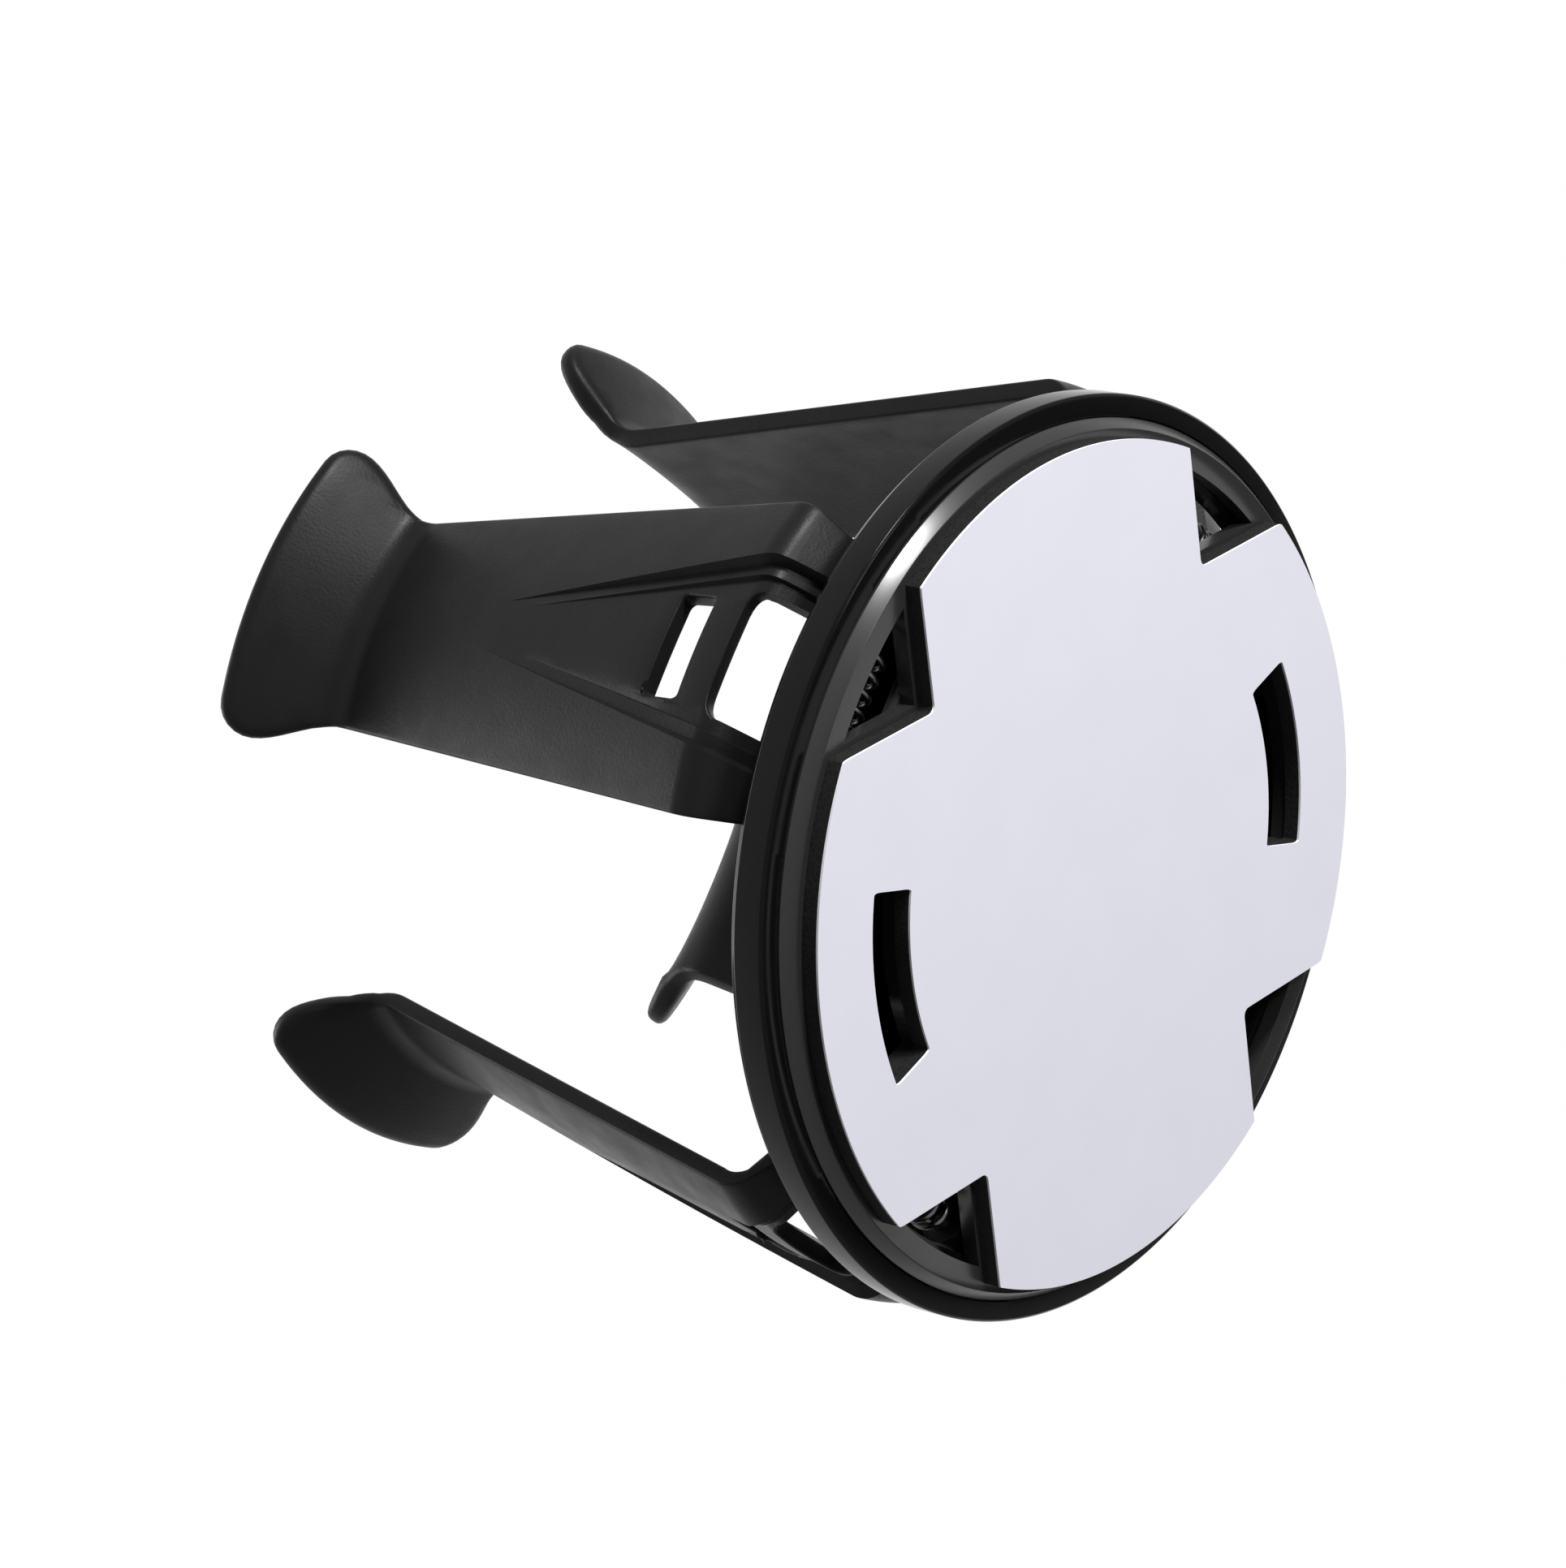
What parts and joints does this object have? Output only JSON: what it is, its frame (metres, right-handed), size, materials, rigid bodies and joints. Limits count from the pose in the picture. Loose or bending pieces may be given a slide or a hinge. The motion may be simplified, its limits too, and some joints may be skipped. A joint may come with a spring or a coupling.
{
  "type": "car cup holder",
  "caption": "Round adhesive base with sprung claw arms on hinges that swing outward and grip a cup or bottle.",
  "frame": {"origin": "centre of the pad's sticking face, at the bottom of the part", "axes": "+Z along the cup axis away from the pad; the arms lie on +X, +Y, -X and -Y"},
  "size_m": [0.08, 0.08, 0.0694],
  "materials": {
    "gloss_black": "glossy moulded black plastic",
    "matte_black": "satin moulded black plastic with a fine grain",
    "black_rubber": "soft black rubber",
    "black_foam": "closed-cell foam with adhesive",
    "liner_film": "pale lilac-grey release film",
    "zinc_steel": "zinc plated",
    "pin_steel": "plain steel",
    "spring_steel": "oiled spring steel",
    "keeper_black": "moulded black plastic"
  },
  "bodies": {
    "base": {"upper_housing": "gloss_black", "bottom_cover": "gloss_black", "seat_mat": "black_rubber", "foam_pad": "black_foam", "release_liner": "liner_film", "case_screws": "zinc_steel", "hinge_pin_1": "pin_steel", "hinge_pin_2": "pin_steel", "hinge_pin_3": "pin_steel", "hinge_pin_4": "pin_steel", "torsion_spring_1": "spring_steel", "torsion_spring_2": "spring_steel", "torsion_spring_3": "spring_steel", "torsion_spring_4": "spring_steel", "pin_keeper_1": "keeper_black", "pin_keeper_2": "keeper_black", "pin_keeper_3": "keeper_black", "pin_keeper_4": "keeper_black"},
    "arm_1": {"arm_1": "matte_black"},
    "arm_2": {"arm_2": "matte_black"},
    "arm_3": {"arm_3": "matte_black"},
    "arm_4": {"arm_4": "matte_black"}
  },
  "joints": [
    {"name": "arm_1_swing", "type": "hinge", "parent": "base", "child": "arm_1", "pos_m": [0.0315, 0, 0.0059], "axis": [0, 1, 0], "range_deg": [0, 22], "stiffness_Nm_per_rad": 0.02, "springref_deg": -51.57, "deforming": ["torsion_spring_1"]},
    {"name": "arm_2_swing", "type": "hinge", "parent": "base", "child": "arm_2", "pos_m": [0, 0.0315, 0.0059], "axis": [-1, 0, 0], "range_deg": [0, 22], "stiffness_Nm_per_rad": 0.02, "springref_deg": -51.57, "deforming": ["torsion_spring_2"]},
    {"name": "arm_3_swing", "type": "hinge", "parent": "base", "child": "arm_3", "pos_m": [-0.0315, 0, 0.0059], "axis": [0, -1, 0], "range_deg": [0, 22], "stiffness_Nm_per_rad": 0.02, "springref_deg": -51.57, "deforming": ["torsion_spring_3"]},
    {"name": "arm_4_swing", "type": "hinge", "parent": "base", "child": "arm_4", "pos_m": [0, -0.0315, 0.0059], "axis": [1, 0, 0], "range_deg": [0, 22], "stiffness_Nm_per_rad": 0.02, "springref_deg": -51.57, "deforming": ["torsion_spring_4"]}
  ]
}
